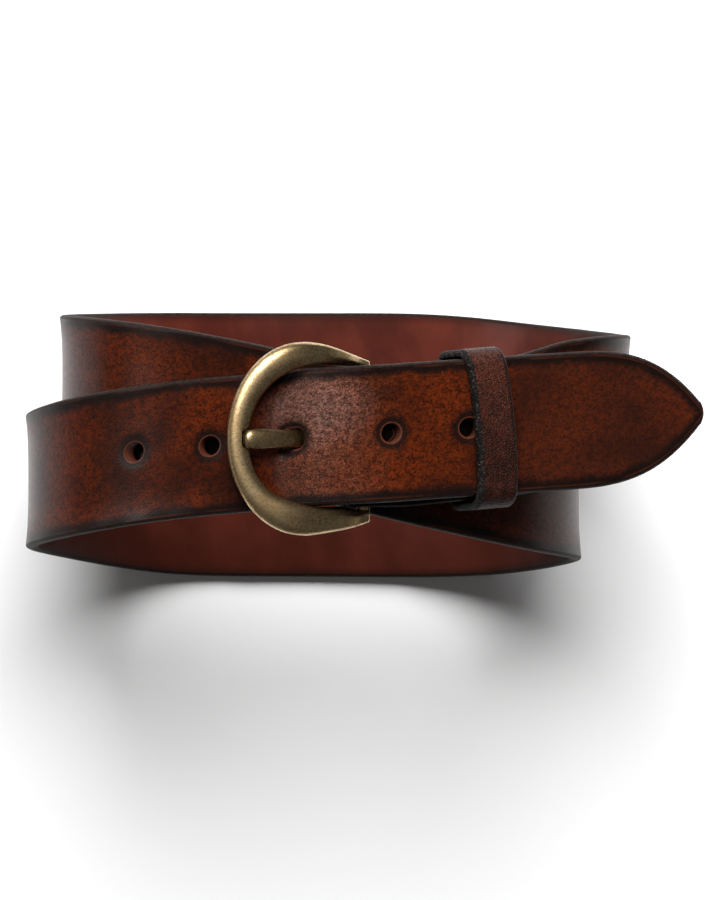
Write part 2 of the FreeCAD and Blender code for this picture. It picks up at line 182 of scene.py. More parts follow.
def round_points(radius):
    turn = math.radians(45.0)
    reach = radius / (2.0 / 3.0 + math.cos(turn) / 3.0)
    angles = [math.radians(degrees) for degrees in (-90, -135, 180, 135, 90)]
    return [(BAR_X + reach * math.cos(a), BAR_Y, BAR_Z + reach * math.sin(a)) for a in angles]


RETURN_PIECE = [clasp_point(x, RETURN_LEVEL, fold_y(x)) for x in (49.5, 44, 37, 29, 20)]
RETURN_PIECE += [(12, BAR_Y, BAR_Z - 2.0), (7, BAR_Y, BAR_Z - 3.0)]
FOLD = round_points(FOLD_MIDDLE_RADIUS)
LONG_PIECE = [(7, BAR_Y, BAR_Z + 3.0), (12, BAR_Y, BAR_Z + 1.9)]
LONG_PIECE += [clasp_point(x, LONG_LEVEL, fold_y(x)) for x in (20, 29, 37, 44, 51)]
BACK_TURN = [
    (59, 9.9, 104.4), (67.5, 11.5, 97.5), (73.7, 11.9, 83), (74.2, 12.1, 62), (71, 13.1, 40),
    (61.5, 14.7, 19), (47, 16.5, 5.5), (31, 18.6, 1.8), (15, 19.6, 1.8), (-3, 19.6, 1.8),
    (-21, 19.6, 1.8), (-37, 19.6, 1.8), (-54, 19.6, 8.2), (-69, 19.2, 20), (-79, 18.6, 38),
    (-83.5, 18, 59), (-81, 17.3, 81), (-68, 15.7, 98.5)]
CROSSING = [(-50, 12.8, 103.5), (-30, 8.9, 103.5), (-10, 3.8, 101.5), (8, -1.2, 100), (26, -5.4, 97.5)]
FRONT_TURN = [
    (43, -9.4, 90.5), (55.5, -12.3, 77), (61.5, -13.5, 59), (59.5, -14.9, 39), (49.5, -17.4, 20.5),
    (35, -19.2, 9.5), (19, -19.7, 3.4), (3, -19.6, 1.8), (-16, -19.5, 1.8), (-35, -19.4, 1.8),
    (-52, -19.2, 1.8), (-70, -16.7, 10), (-84, -13.5, 27), (-92, -11.3, 50), (-92.5, -9.8, 74),
    (-84, -7.1, 93.5), (-68, -3.8, 105.5), (-52, -1.5, 110)]
OVER_BAR = [(x, y, BAR_Z + level) for x, y, level in (
    (-38, -0.2, 0.8), (-29, 0.5, 0.7), (-22, 1.1, 0.9), (-16.7, 1.7, 3.9), (-11.2, 2.2, 7.6),
    (-3, 2.6, 7.5), (5, 3.0, 7.1))]
TIP_END = [clasp_point(x, TIP_LEVEL, y) for x, y in (
    (14, 3.6), (24, 4.3), (34, 5.0), (46, 5.8), (58, 6.6), (70, 7.4), (82, 8.1), (95, 8.8))]
ROUTE = np.array(RETURN_PIECE + FOLD + LONG_PIECE + BACK_TURN + CROSSING + FRONT_TURN + OVER_BAR
                 + TIP_END, float)
SKIVED_POINTS = len(RETURN_PIECE) + len(FOLD)


class StrapLine:
    """The strap's middle line by length along it, with its normal, thickness and bend."""

    def __init__(self):
        spans = len(ROUTE) - 3
        self.place = np.linspace(0, spans, spans * 60 + 1)
        points = spline(ROUTE, self.place)
        self.s = lengths(points)
        self.points = points
        along = np.gradient(points, self.s, axis=0)
        flat = unit(along[:, [0, 2]])
        self.normal = np.stack([-flat[:, 1], np.zeros(len(flat)), flat[:, 0]], axis=1)
        self.widen = np.sqrt(1 + (along[:, 1] / np.hypot(along[:, 0], along[:, 2])) ** 2)
        heading = np.unwrap(np.arctan2(flat[:, 1], flat[:, 0]))
        bend = -np.gradient(heading, self.s)
        width = 240
        padded = np.pad(bend, width, mode="edge")
        self.bend = np.convolve(padded, np.ones(width) / width, "same")[width:-width]
        thickness = np.full(len(ROUTE), STRAP_THICKNESS)
        thickness[:SKIVED_POINTS] = SKIVED_THICKNESS
        thickness[SKIVED_POINTS] = (SKIVED_THICKNESS + STRAP_THICKNESS) / 2
        self.thickness = spline(thickness, self.place)
        self.length = self.s[-1]

    def at(self, values, s):
        if values.ndim == 1:
            return np.interp(s, self.s, values)
        return np.stack([np.interp(s, self.s, column) for column in values.T], axis=-1)

    def s_on_tip_end(self, x):
        """Length along the strap at this x, on the stretch that ends in the point."""
        last = self.s > self.length - 220
        rising = np.maximum.accumulate(self.points[last, 0])
        return float(np.interp(x, rising, self.s[last]))


LINE = StrapLine()


# ---- The strap's mesh ---------------------------------------------------------------------------

def half_width(from_tip):
    """Half the strap's width at a distance from its pointed end, and how fast it widens."""
    def raw(d):
        return STRAP_WIDTH / 2 * (1 - (1 - np.clip(d / POINT_LENGTH, 0, 1)) ** 3)

    slope = 3 * STRAP_WIDTH / 2 / POINT_LENGTH
    angle = math.atan(slope)
    centre = POINT_RADIUS / math.sin(angle)
    start = centre - POINT_RADIUS
    join = centre - POINT_RADIUS * math.sin(angle)
    d = from_tip + start
    round_part = np.sqrt(np.clip(POINT_RADIUS ** 2 - (centre - d) ** 2, 0, None))
    half = np.where(d < join, round_part, raw(d))
    steep = np.clip((centre - d) / np.maximum(round_part, 1e-3), 0, 12)
    outline_slope = STRAP_WIDTH / 2 * 3 / POINT_LENGTH * (1 - np.clip(d / POINT_LENGTH, 0, 1)) ** 2
    return half, np.where(d < join, np.maximum(steep, slope), outline_slope)


class Hole:
    """A punched hole: round, or pulled into a slot, with its walls leaning by a shift."""

    def __init__(self, s, radius, t=0.0, stretch=0.0, lean=0.0, rim=0.35, dish=0.22):
        self.s = s
        self.t = t
        self.radius = radius
        self.stretch = stretch
        self.lean = lean
        self.rim = rim
        self.dish = dish
        self.reach_s = 6.0 if stretch else 4.8
        self.reach_t = 4.0

    def core(self, ds):
        return np.clip(ds, -self.stretch / 2, self.stretch / 2)

    def distance(self, s, t):
        ds = s - self.s
        return np.hypot(ds - self.core(ds), t - self.t) - self.radius


def make_holes():
    holes = [Hole(LINE.s_on_tip_end(x), HOLE_RADIUS, t, lean=lean)
             for x, t, lean in zip(HOLE_X, (0.9, 0.2, 0.0, 0.0), (-1.2, -1.2, 1.2, 1.2))]
    pulled = Hole(LINE.s_on_tip_end(-17.8), 2.85, stretch=1.9, lean=-3.0, rim=0.6, dish=0.9)
    holes.insert(2, pulled)
    return holes


HOLES = make_holes()
FLAT_LINES = np.concatenate([np.linspace(-17.85, -4, 12)[:-1], np.linspace(-4, 4, 9),
                             np.linspace(4, 17.85, 12)[1:]])
EDGE_STEPS = 6
slow = Lattice(11)
quick_noise = Lattice(12)


def s_lines():
    """Where the strap's crosswise rows of points lie, closer together at bends and ends."""
    rows = [0.0]
    stops = []
    for hole in HOLES:
        stops += [hole.s - hole.reach_s, hole.s + hole.reach_s]
    fixed = sorted([0.0, 1.3, 38.0, FOLD_END_S] + stops + [LINE.length - 6.0])
    for start, end in zip(fixed, fixed[1:]):
        step = 1.3
        if end <= FOLD_END_S and start >= 38.0:
            step = 0.7
        if start == 0.0:
            step = 0.2
        if start in stops and end in stops and end - start < 12.5:
            step = 1.0
        count = max(1, round((end - start) / step))
        rows += list(np.linspace(start, end, count + 1)[1:])
    last = 6.0 * np.linspace(1, 0, 22)[1:] ** 1.7
    return np.array(rows + list(LINE.length - last))


def relief(s, t, edge, n_share):
    """How far a point stands off the plain strap, along its normal."""
    bend = LINE.at(LINE.bend, s)
    side = np.abs(t) / (STRAP_WIDTH / 2)
    flare = np.clip(bend, -0.03, 0.05) * 42.0 * side ** 3.0
    straight = smoothstep(95.0, 125.0, s)
    keeper_s = LINE.s_on_tip_end(36.0)
    straight = straight * (1 - 0.8 * np.exp(-((s - keeper_s) / 14.0) ** 2))
    hump_s = LINE.s_on_tip_end(-9.0)
    crown = (0.8 - 1.2 * side ** 2) * np.exp(-((s - hump_s) / 11.0) ** 2)
    wave = 0.22 * slow(s / 23.0, t / 17.0 + 9.0) * straight
    ripple = 0.16 * quick_noise(s / 6.5, 3.0 + np.sign(t) * 2.0) * smoothstep(4.0, 0.5, edge) * straight
    dish = np.zeros_like(s)
    for hole in HOLES:
        d = np.maximum(hole.distance(s, t), 0)
        dish += -hole.dish * np.exp(-(d / 1.5) ** 2) * np.clip(n_share, 0, 1)
    return flare * straight + wave + ripple + dish + crown


def edge_profile(edge, thickness):
    """Half the strap's thickness at a distance in from its outline: an upright oval round."""
    q = np.clip(edge / EDGE_ROUND, 0, 1)
    return thickness / 2 * (1 - (1 - q) ** 2.3) ** (1 / 2.3)


def strap_points(s, t, n):
    """From places on the flattened strap to points in space."""
    out = LINE.at(LINE.points, s) + LINE.at(LINE.normal, s) * n[:, None]
    out[:, 1] += t * LINE.at(LINE.widen, s)
    return out


def strap_grid():
    """Rows of points round the strap's section: their s, t and n, and the loop's length."""
    s = s_lines()
    half, slope = half_width(LINE.length - s)
    half = half - FOLD_TRIM * smoothstep(95.0, 75.0, s)
    stretch = np.sqrt(1 + slope ** 2)
    edge_band = np.minimum(EDGE_ROUND * stretch, half)
    q = 1 - np.cos(np.linspace(0, math.pi / 2, EDGE_STEPS + 1))
    left = -half[:, None] + edge_band[:, None] * q[None, :]
    flat = (half - edge_band)[:, None] * (FLAT_LINES / FLAT_LINES[-1])[None, 1:-1]
    t = np.concatenate([left, flat, -left[:, ::-1]], axis=1)
    ss = np.repeat(s[:, None], t.shape[1], axis=1)
    edge = np.maximum(half[:, None] - np.abs(t), 0) / stretch[:, None]
    edge = np.minimum(edge, ss)
    thickness = LINE.at(LINE.thickness, s)[:, None]
    n = edge_profile(edge, thickness)
    return ss, t, n, edge


def hole_ring(hole, ds, dt, offset):
    """The nearest place on a hole's outline, grown by an offset, for a place round it."""
    core = hole.core(ds)
    away = unit(np.stack([ds - core, dt], axis=-1))
    radius = hole.radius + offset
    return core + away[..., 0] * radius, away[..., 1] * radius


def beneath_holes(s, points):
    """Distance in plan from the nearest hole that a point of the layer under it lies below."""
    away = np.full(len(s), 20.0)
    for hole in HOLES:
        centre = LINE.at(LINE.points, np.array([hole.s]))[0]
        below = centre[2] - points[:, 2]
        layer = (np.abs(s - hole.s) > 40) & (below > 1.0) & (below < 9.0)
        plan = np.hypot(points[:, 0] - centre[0], points[:, 1] - centre[1] - hole.t)
        away = np.where(layer, np.minimum(away, plan), away)
    return away


def merge_doubles(piece):
    """Makes one point of points that share a place, and drops the faces that close up."""
    made = bmesh.new()
    made.from_mesh(piece.data)
    bmesh.ops.remove_doubles(made, verts=made.verts, dist=2e-6)
    bmesh.ops.dissolve_degenerate(made, edges=made.edges, dist=1e-7)
    made.to_mesh(piece.data)
    made.free()


def cut_fold_slot(strap):
    """Meant to open the slot where the prong's eye turns on the bar.

    Fault: it comes out filled. The strap's mesh is wound inward, which probably makes the
    DIFFERENCE act as a union.
    """
    half, end, start = FOLD_SLOT_WIDTH / 2, FOLD_SLOT_END - FOLD_SLOT_WIDTH / 2, -8.0
    turn = [math.radians(a) for a in np.linspace(-90, 90, 15)]
    plan = [(start, -half)] + [(end + half * math.cos(a), half * math.sin(a)) for a in turn]
    plan += [(start, half)]
    points = [(x, BAR_Y + y, z) for z in (BAR_Z - FOLD_SLOT_HEIGHT / 2, BAR_Z + FOLD_SLOT_HEIGHT / 2)
              for x, y in plan]
    zeros = np.zeros(len(points))
    cutter = make_object("slot_cutter", points, tube_faces(2, len(plan)), {
        "place": points, "edge": zeros, "hole": zeros + 20, "side": zeros, "under": zeros + 20})
    return combine(strap, cutter, "DIFFERENCE")


def build_strap():
    ss, tt, nn, ee = strap_grid()
    rows, cols = ss.shape
    s_all = [ss.ravel(), ss[:, 1:-1].ravel()]
    t_all = [tt.ravel(), tt[:, 1:-1].ravel()]
    n_all = [nn.ravel(), -nn[:, 1:-1].ravel()]
    e_all = [ee.ravel(), ee[:, 1:-1].ravel()]

    def outer(i, j):
        return i * cols + j

    def inner(i, j):
        if j in (0, cols - 1):
            return i * cols + j
        return rows * cols + i * (cols - 2) + j - 1

    blocks = []
    for hole in HOLES:
        i0 = int(np.argmin(np.abs(ss[:, 0] - (hole.s - hole.reach_s))))
        i1 = int(np.argmin(np.abs(ss[:, 0] - (hole.s + hole.reach_s))))
        j0 = int(np.argmin(np.abs(tt[i0] + hole.reach_t)))
        j1 = int(np.argmin(np.abs(tt[i0] - hole.reach_t)))
        blocks.append((hole, i0, i1, j0, j1))

    def in_block(i, j):
        return any(i0 <= i < i1 and j0 <= j < j1 for _, i0, i1, j0, j1 in blocks)

    faces = []
    for i in range(rows - 1):
        for j in range(cols - 1):
            if in_block(i, j):
                continue
            faces.append((outer(i, j), outer(i + 1, j), outer(i + 1, j + 1), outer(i, j + 1)))
            faces.append((inner(i, j), inner(i, j + 1), inner(i + 1, j + 1), inner(i + 1, j)))

    count = sum(len(part) for part in s_all)
    for hole, i0, i1, j0, j1 in blocks:
        border = [(i, j0) for i in range(i0, i1)] + [(i1, j) for j in range(j0, j1)]
        border += [(i, j1) for i in range(i1, i0, -1)] + [(i0, j) for j in range(j1, j0, -1)]
        bi = np.array(border)
        ds = ss[bi[:, 0], bi[:, 1]] - hole.s
        dt = tt[bi[:, 0], bi[:, 1]] - hole.t
        half_thick = STRAP_THICKNESS / 2
        rim = hole.rim
        rings = []
        for share in (0.3, 0.55, 0.75, 0.9):
            rings.append(("sheet", share, half_thick))
        for angle in np.radians((0, 22, 45, 67, 90)):
            rings.append(("wall", rim * (1 - math.sin(angle)), half_thick - rim * (1 - math.cos(angle))))
        for share in (0.25, 0.5, 0.75):
            rings.append(("wall", 0.0, (half_thick - rim) * (1 - 2 * share)))
        for angle in np.radians((90, 60, 30, 0)):
            rings.append(("wall", rim * (1 - math.sin(angle)), -half_thick + rim * (1 - math.cos(angle))))
        for share in (0.9, 0.6, 0.3):
            rings.append(("sheet", share, -half_thick))
        previous = [outer(i, j) for i, j in border]
        size = len(border)
        for kind, value, n in rings:
            if kind == "sheet":
                ring_s, ring_t = hole_ring(hole, ds, dt, rim)
                shift = hole.lean * (n / STRAP_THICKNESS - 0.5)
                place_s = ds * (1 - value) + (ring_s + shift) * value
                place_t = dt * (1 - value) + ring_t * value
            else:
                ring_s, ring_t = hole_ring(hole, ds, dt, value)
                place_s = ring_s + hole.lean * (n / STRAP_THICKNESS - 0.5)
                place_t = ring_t
            s_all.append(place_s + hole.s)
            t_all.append(place_t + hole.t)
            n_all.append(np.full(size, n))
            e_all.append(STRAP_WIDTH / 2 - np.abs(place_t))
            current = list(range(count, count + size))
            count += size
            for k in range(size):
                m = (k + 1) % size
                faces.append((previous[k], previous[m], current[m], current[k]))
            previous = current
        last = [inner(i, j) for i, j in border]
        for k in range(size):
            m = (k + 1) % size
            faces.append((previous[k], previous[m], last[m], last[k]))

    s = np.concatenate(s_all)
    t = np.concatenate(t_all)
    n = np.concatenate(n_all)
    e = np.concatenate(e_all)
    thickness = LINE.at(LINE.thickness, s)
    n_share = 2 * n / thickness
    points = strap_points(s, t, n + relief(s, t, e, n_share))
    points[:, 2] = np.maximum(points[:, 2], 0.02)
    hole_gap = np.min([hole.distance(s - hole.lean * (n / STRAP_THICKNESS - 0.5), t)
                       for hole in HOLES], axis=0)
    values = {"place": np.stack([s, t, n], axis=1), "edge": e, "hole": np.clip(hole_gap, -1, 20),
              "side": n_share, "under": beneath_holes(s, points)}
    piece = make_object("strap_leather", points, faces, values)
    merge_doubles(piece)
    return cut_fold_slot(piece)


# ---- The buckle ---------------------------------------------------------------------------------

FRAME_WIDTH = 53.2
FRAME_INNER_WIDTH = 40.6
FRAME_REACH = 37.6
FRAME_INNER_REACH = 31.3
FRAME_THICKNESS = 4.2
INNER_BOW_START = 11.0
INNER_BOW_POWER = 2.1
# The legs' ends and outer bow differ a little from the CAD frame's.
LEG_END = -1.4
LEG_END_OUTER = 22.3
LEG_END_INNER = 19.1
OUTER_LEG = ((LEG_END, LEG_END_OUTER), (2, 23.6), (6, 24.85), (10, 25.85), (13.5, 26.4))
INNER_LEG = ((LEG_END, LEG_END_INNER), (4, 20.0))
OUTER_BOW_START = 16.5
OUTER_BOW_POWER = 2.0
FRAME_LINE = ((-6, -0.2), (-2, 0), (1, 0.4), (5, 3.0), (10, 5.9), (15, 7.7), (20, 8.0), (26, 7.3),
              (32, 6.2), (40, 4.6))
NOTCH_FLOOR = 6.3
NOTCH_END = 33.1
NOTCH_HALF = 2.7

PRONG_LINE = ((3.0, 2.0), (6, 1.7), (11, 1.6), (16.5, 3.6), (22, 6.6), (27, 7.7), (32.6, 7.9))
PRONG_WIDTH = 5.6               # the CAD prong is 4.7 wide
PRONG_THICKNESS = 2.7
EYE_RADIUS = 4.0
EYE_BORE = 2.35
EYE_WIDTH = 5.6


def from_bar(places):
    """Points in space from distance before the bar, distance across, and height over it."""
    places = np.asarray(places, float)
    return np.stack([BAR_X - places[..., 0], BAR_Y + places[..., 1], BAR_Z + places[..., 2]], axis=-1)


def plan_outline(legs, centre, reach, half_width, power):
    """Points round the frame in plan: one leg, a superellipse round the front, the other leg."""
    angles = math.pi * (0.5 - np.arange(1, 14) / 14)
    front_u = np.cos(angles) ** (2 / power) * (reach - centre) + centre
    front_v = np.sign(np.sin(angles)) * np.abs(np.sin(angles)) ** (2 / power) * half_width
    upper = np.array(list(legs) + [(centre, half_width)])
    return np.concatenate([upper, np.stack([front_u, front_v], axis=1), upper[::-1] * (1, -1)])


def resampled(points, shares):
    """Points at given shares of the length of the smooth curve through some points."""
    dense = through(points, np.linspace(0, len(points) - 1, 2000))
    so_far = lengths(dense)
    return np.stack([np.interp(shares * so_far[-1], so_far, column) for column in dense.T], axis=1)


def rounded_section(count, power_top, power_bottom):
    """Across and up values round a section with a domed top and a flatter underside."""
    angle = np.linspace(0, 2 * math.pi, count, endpoint=False)
    power = np.where(np.sin(angle) >= 0, power_top, power_bottom)
    across = np.sign(np.cos(angle)) * np.abs(np.cos(angle)) ** (2 / power)
    up = np.sign(np.sin(angle)) * np.abs(np.sin(angle)) ** (2 / power)
    return across, up


def tube_faces(rings, size, closed=False):
    """Faces between rings of points, with flat ends unless the rings close on themselves."""
    faces = []
    for i in range(rings if closed else rings - 1):
        j = (i + 1) % rings
        for k in range(size):
            m = (k + 1) % size
            faces.append((i * size + k, i * size + m, j * size + m, j * size + k))
    if not closed:
        faces.append(tuple(range(size - 1, -1, -1)))
        faces.append(tuple((rings - 1) * size + k for k in range(size)))
    return faces


def frame_height(u):
    """Height of the frame's middle line and its slope, at a distance before the bar."""
    dense = through(FRAME_LINE, np.linspace(0, len(FRAME_LINE) - 1, 600))
    slope = np.gradient(dense[:, 1], dense[:, 0])
    return np.interp(u, dense[:, 0], dense[:, 1]), np.interp(u, dense[:, 0], slope)


def build_frame_ring():
    steps = np.linspace(-1, 1, 191)
    shares = 0.5 + 0.5 * np.sign(steps) * np.abs(steps) ** 1.25
    outer = resampled(plan_outline(OUTER_LEG, OUTER_BOW_START, FRAME_REACH, FRAME_WIDTH / 2,
                                   OUTER_BOW_POWER), shares)
    inner = resampled(plan_outline(INNER_LEG, INNER_BOW_START, FRAME_INNER_REACH,
                                   FRAME_INNER_WIDTH / 2, INNER_BOW_POWER), shares)
    outer[:, 1] -= 0.75 * smoothstep(12, 0, outer[:, 0])
    inner[:, 1] += np.where(inner[:, 1] < 0, 1.6, 0) * (
        smoothstep(1, 6, inner[:, 0]) * smoothstep(30, 18, inner[:, 0]))
    across, up = rounded_section(44, 2.3, 3.2)
    middle = (outer + inner) / 2
    half = (outer - inner) / 2
    plan = middle[:, None] + half[:, None] * across[None, :, None]
    height, slope = frame_height(plan[..., 0])
    faceted = smoothstep(26, 8, plan[..., 0]) * 0.42
    ridge = -0.15
    side = across[None, :] - ridge
    roof = 1 - faceted * np.where(side > 0, side / (1 - ridge), -side / (1 + ridge))
    share = np.minimum(up[None, :], roof)
    rise = share * FRAME_THICKNESS / 2 * np.sqrt(1 + slope ** 2)
    w = height + rise
    corner = 1.6
    past = np.hypot(np.maximum(np.abs(plan[..., 1]) - NOTCH_HALF + corner, 0),
                    np.maximum(plan[..., 0] - NOTCH_END + corner, 0)) - corner
    cut = smoothstep(0.2, -0.15, past)
    w = np.where(w > NOTCH_FLOOR, w + (NOTCH_FLOOR - w) * cut, w)
    places = np.stack([plan[..., 0], plan[..., 1], w], axis=-1)
    wear_and_shade = np.repeat(up[None, :], len(places), axis=0)

    def end_rings(ring, order):
        centre = ring.mean(axis=0)
        made = []
        for out, scale in ((0.2, 0.96), (0.34, 0.86), (0.4, 0.72)):
            made.append(centre + (ring - centre) * scale + np.array([-out, 0, 0]))
        return np.array(made[::order])

    places = np.concatenate([end_rings(places[0], -1), places, end_rings(places[-1], 1)])
    wear_and_shade = np.concatenate([wear_and_shade[:3], wear_and_shade, wear_and_shade[:3]])
    rings, size = places.shape[:2]
    points = from_bar(places).reshape(-1, 3)
    return make_object("buckle_frame_cast", points, tube_faces(rings, size),
                       {"place": points, "wear_and_shade": wear_and_shade.ravel()})


def lathe_y(name, profile, centre, segments):
    """A ring or rod round a line along Y, from a closed profile of radius and Y."""
    angles = np.linspace(0, 2 * math.pi, segments, endpoint=False)
    profile = np.array(profile)
    x = centre[0] + profile[None, :, 0] * np.cos(angles)[:, None]
    z = centre[2] + profile[None, :, 0] * np.sin(angles)[:, None]
    y = centre[1] + np.repeat(profile[None, :, 1], segments, axis=0)
    points = np.stack([x, y, z], axis=-1).reshape(-1, 3)
    wear_and_shade = np.full(len(points), 0.3)
    return make_object(name, points, tube_faces(segments, len(profile), closed=True),
                       {"place": points, "wear_and_shade": wear_and_shade})


def build_bar():
    half = LEG_END_INNER + 0.5
    radius = BAR_RADIUS - 0.2
    angles = np.linspace(0, 2 * math.pi, 40, endpoint=False)
    rings = [np.stack([radius * np.cos(angles), np.full(40, y), radius * np.sin(angles)], axis=1)
             for y in (-half, -half / 2, 0, half / 2, half)]
    points = from_bar(np.concatenate(rings))
    # The bar's low value darkens it all over: painted shade, as it lies under the strap.
    return make_object("bar", points, tube_faces(5, 40),
                       {"place": points, "wear_and_shade": np.full(len(points), -0.6)})


def rounded_box_profile(low_r, high_r, half_y, corner):
    """A closed profile of radius and Y with rounded corners."""
    out = []
    for r, y, start in ((high_r - corner, half_y - corner, 0), (low_r + corner, half_y - corner, 90),
                        (low_r + corner, -half_y + corner, 180), (high_r - corner, -half_y + corner, 270)):
        for step in range(5):
            a = math.radians(start + step * 22.5)
            out.append((r + corner * math.cos(a), y + corner * math.sin(a)))
    return out


def build_blade():
    line = resampled(np.array(PRONG_LINE), np.linspace(0, 1, 90))
    along = unit(np.gradient(line, axis=0))
    normal = np.stack([-along[:, 1], along[:, 0]], axis=1)
    across, up = rounded_section(36, 2.2, 3.0)
    from_tip = lengths(line)[-1] - lengths(line)
    round_tip = np.sqrt(np.clip(1 - (1 - np.clip(from_tip / (PRONG_WIDTH / 2), 0, 1)) ** 2, 0, 1))
    round_tip = np.maximum(round_tip, 0.04)
    waist = 1 - 0.13 * smoothstep(3, 11, from_tip)
    half_v = PRONG_WIDTH / 2 * round_tip * waist
    half_n = PRONG_THICKNESS / 2 * round_tip ** 0.8
    places = np.zeros((len(line), 36, 3))
    places[..., 0] = line[:, None, 0] + normal[:, None, 0] * up * half_n[:, None]
    places[..., 1] = across * half_v[:, None]
    places[..., 2] = line[:, None, 1] + normal[:, None, 1] * up * half_n[:, None]
    points = from_bar(places).reshape(-1, 3)
    wear_and_shade = np.repeat(up[None, :], len(line), axis=0).ravel()
    return make_object("prong_cast", points, tube_faces(len(line), 36), {"place": points, "wear_and_shade": wear_and_shade})


def build_frame():
    return combine(build_frame_ring(), build_bar(), "UNION")


def build_prong():
    eye = lathe_y("eye", rounded_box_profile(EYE_BORE, EYE_RADIUS, EYE_WIDTH / 2, 0.45),
                  (BAR_X, BAR_Y, BAR_Z), 64)
    return combine(build_blade(), eye, "UNION")


# ---- The keeper ---------------------------------------------------------------------------------

KEEPER_LENGTH = 10.7
KEEPER_THICKNESS = 2.1
KEEPER_OUTER_WIDTH = 44.5
KEEPER_LEAN = math.radians(25.0)
KEEPER_X = 31.0
KEEPER_Y = 4.27
KEEPER_LOW = -3.6
KEEPER_HIGH = 8.4
KEEPER_TOP_CORNER = 5.4
KEEPER_LOW_CORNER = 4.0
KEEPER_SLIT = 0.3


def keeper_path():
    """Points and outward directions round the middle of the keeper's wall, in its own plane."""
    wall = KEEPER_THICKNESS
    side = (KEEPER_OUTER_WIDTH - wall) / 2
    bottom = KEEPER_LOW - wall / 2
    top = KEEPER_HIGH + wall / 2
    low_radius = KEEPER_LOW_CORNER - wall / 2
    top_radius = KEEPER_TOP_CORNER - wall / 2
    stops = []

    def run(start, end, direction, count):
        for share in np.linspace(0, 1, count, endpoint=False):
            y = start[0] + (end[0] - start[0]) * share
            z = start[1] + (end[1] - start[1]) * share
            stops.append((y, z, *direction))

    def corner(y, z, radius, first):
        for degrees in np.linspace(0, 90, 12, endpoint=False):
            a = math.radians(first + degrees)
            stops.append((y + radius * math.cos(a), z + radius * math.sin(a), math.cos(a), math.sin(a)))

    low_y, top_y = side - low_radius, side - top_radius
    low_z, top_z = bottom + low_radius, top - top_radius
    run((KEEPER_SLIT / 2, bottom), (low_y, bottom), (0, -1), 20)
    corner(low_y, low_z, low_radius, -90)
    run((side, low_z), (side, top_z), (1, 0), 6)
    corner(top_y, top_z, top_radius, 0)
    run((top_y, top), (-top_y, top), (0, 1), 40)
    corner(-top_y, top_z, top_radius, 90)
    run((-side, top_z), (-side, low_z), (-1, 0), 6)
    corner(-low_y, low_z, low_radius, 180)
    run((-low_y, bottom), (-KEEPER_SLIT / 2, bottom), (0, -1), 20)
    stops.append((-KEEPER_SLIT / 2, bottom, 0, -1))
    return np.array(stops)


def keeper_section():
    """Along and outward values round the band's section, its left edge rounded the most."""
    half = KEEPER_LENGTH / 2
    wall = KEEPER_THICKNESS / 2
    out = []
    for x, r, size_x, size_r, start in (
            (half, wall, 0.8, 0.9, 0), (-half, wall, 1.15, 1.3, 90),
            (-half, -wall, 0.5, 0.5, 180), (half, -wall, 0.5, 0.5, 270)):
        for step in range(7):
            a = math.radians(start + step * 15)
            away_x = math.copysign(size_x, x)
            away_r = math.copysign(size_r, r)
            out.append((x - away_x + size_x * math.cos(a), r - away_r + size_r * math.sin(a)))
        if r > 0 and x > 0:
            out += [(share * (half - 1.3), wall) for share in np.linspace(0.85, -0.85, 9)]
        if r < 0 and x < 0:
            out += [(share * (half - 0.5), -wall) for share in np.linspace(-0.8, 0.8, 7)]
    return np.array(out)


def build_keeper():
    path = keeper_path()
    section = keeper_section()
    wobble = Lattice(31)
    y = path[:, None, 0] + path[:, None, 2] * section[None, :, 1]
    z = path[:, None, 1] + path[:, None, 3] * section[None, :, 1]
    on_top = np.clip(path[:, None, 3], 0, 1)
    z = z + on_top * 0.25 * np.cos(y / KEEPER_OUTER_WIDTH * math.pi)
    x = np.broadcast_to(section[None, :, 0], y.shape)
    x = x + 0.18 * wobble(y / 9, x * 0.05 + z / 11)
    bow = on_top * (1.1 * np.cos(y / KEEPER_OUTER_WIDTH * math.pi) - 0.5)
    along = x + math.tan(KEEPER_LEAN) * z + bow
    tilt = math.atan(CLASP_SLOPE)
    px = along * math.cos(tilt) + z * math.sin(tilt)
    pz = -along * math.sin(tilt) + z * math.cos(tilt)
    qx = px * math.cos(CLASP_HEADING) - y * math.sin(CLASP_HEADING)
    qy = px * math.sin(CLASP_HEADING) + y * math.cos(CLASP_HEADING)
    origin = clasp_point(KEEPER_X, 0, KEEPER_Y)
    points = np.stack([qx + origin[0], qy + origin[1], pz + origin[2]], axis=-1)
    rings, size = points.shape[:2]
    round_path = lengths(path[:, :2])
    place = np.stack([np.broadcast_to(round_path[:, None], x.shape), x,
                      np.broadcast_to(section[None, :, 1], x.shape)], axis=-1)
    left = np.broadcast_to(section[None, :, 0] + KEEPER_LENGTH / 2, x.shape)
    side = np.broadcast_to(section[None, :, 1] / (KEEPER_THICKNESS / 2), x.shape)
    return make_object("keeper_leather", points.reshape(-1, 3), tube_faces(rings, size),
                       {"place": place.reshape(-1, 3), "left": left.ravel(), "side": side.ravel()})


# ---- Materials ----------------------------------------------------------------------------------

def srgb(r, g, b):
    values = [c / 255 for c in (r, g, b)]
    return tuple(((v + 0.055) / 1.055) ** 2.4 if v > 0.04045 else v / 12.92 for v in values) + (1.0,)


